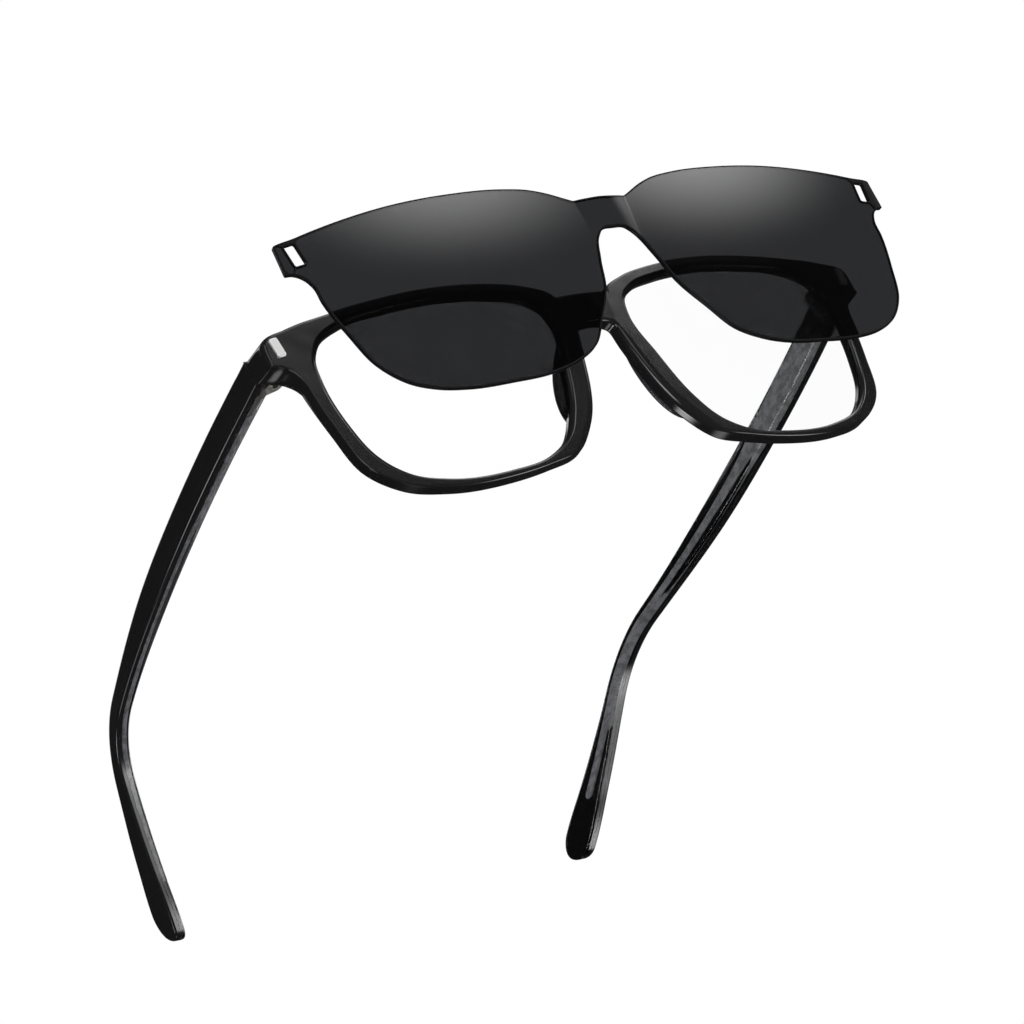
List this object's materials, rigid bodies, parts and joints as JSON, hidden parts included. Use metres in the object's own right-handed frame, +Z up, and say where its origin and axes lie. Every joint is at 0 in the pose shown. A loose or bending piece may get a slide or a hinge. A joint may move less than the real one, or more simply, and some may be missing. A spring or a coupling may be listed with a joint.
{
  "type": "spectacle frame with clip-on sun shield",
  "caption": "Rectangular plastic spectacle frame with folding metal-cored temples, clear lenses and a one-piece dark clip-on shield held lifted off its seat.",
  "frame": {"origin": "on the surface that the frame stands on, in the mirror plane, below the face of the plaques", "axes": "+X across the face to the right of a viewer in front, +Y back along the temples, +Z up"},
  "size_m": [0.1378, 0.1631, 0.0484],
  "materials": {
    "black_acetate": "polished black acetate",
    "crystal_acetate": "polished clear acetate",
    "smoke_acetate": "polished smoke acetate",
    "clear_lens": "clear coated lens",
    "dark_shield": "dark tinted transparent sheet",
    "silver_plaque": "polished silver with a bevelled edge",
    "nickel_hinge": "satin nickel silver",
    "screw_steel": "bright steel",
    "core_metal": "fine textured nickel silver"
  },
  "bodies": {
    "front": {"front_frame": "black_acetate", "lens_left": "clear_lens", "lens_right": "clear_lens", "nose_pad_left": "smoke_acetate", "nose_pad_right": "smoke_acetate", "plaque_left": "silver_plaque", "plaque_right": "silver_plaque", "hinge_front_left": "nickel_hinge", "hinge_front_right": "nickel_hinge", "hinge_screw_left": "screw_steel", "hinge_screw_right": "screw_steel"},
    "temple_right": {"hinge_temple_right": "nickel_hinge", "temple_outer_right": "black_acetate", "temple_inner_right": "crystal_acetate", "core_right": "core_metal"},
    "temple_left": {"hinge_temple_left": "nickel_hinge", "temple_outer_left": "black_acetate", "temple_inner_left": "crystal_acetate", "core_left": "core_metal"},
    "shield": {"clip_shield": "dark_shield"}
  },
  "joints": [
    {"name": "temple_right_fold", "type": "hinge", "parent": "front", "child": "temple_right", "pos_m": [0.0626, 0.0082, 0.03533], "axis": [0, 0.0584, 0.9983], "range_deg": [0, 85]},
    {"name": "temple_left_fold", "type": "hinge", "parent": "front", "child": "temple_left", "pos_m": [-0.0626, 0.0082, 0.03533], "axis": [0, -0.0584, -0.9983], "range_deg": [0, 73]},
    {"name": "shield_lift", "type": "slide", "parent": "front", "child": "shield", "axis": [0, 0.9284, -0.3716], "range_m": [-0.012, 0.01776]}
  ]
}
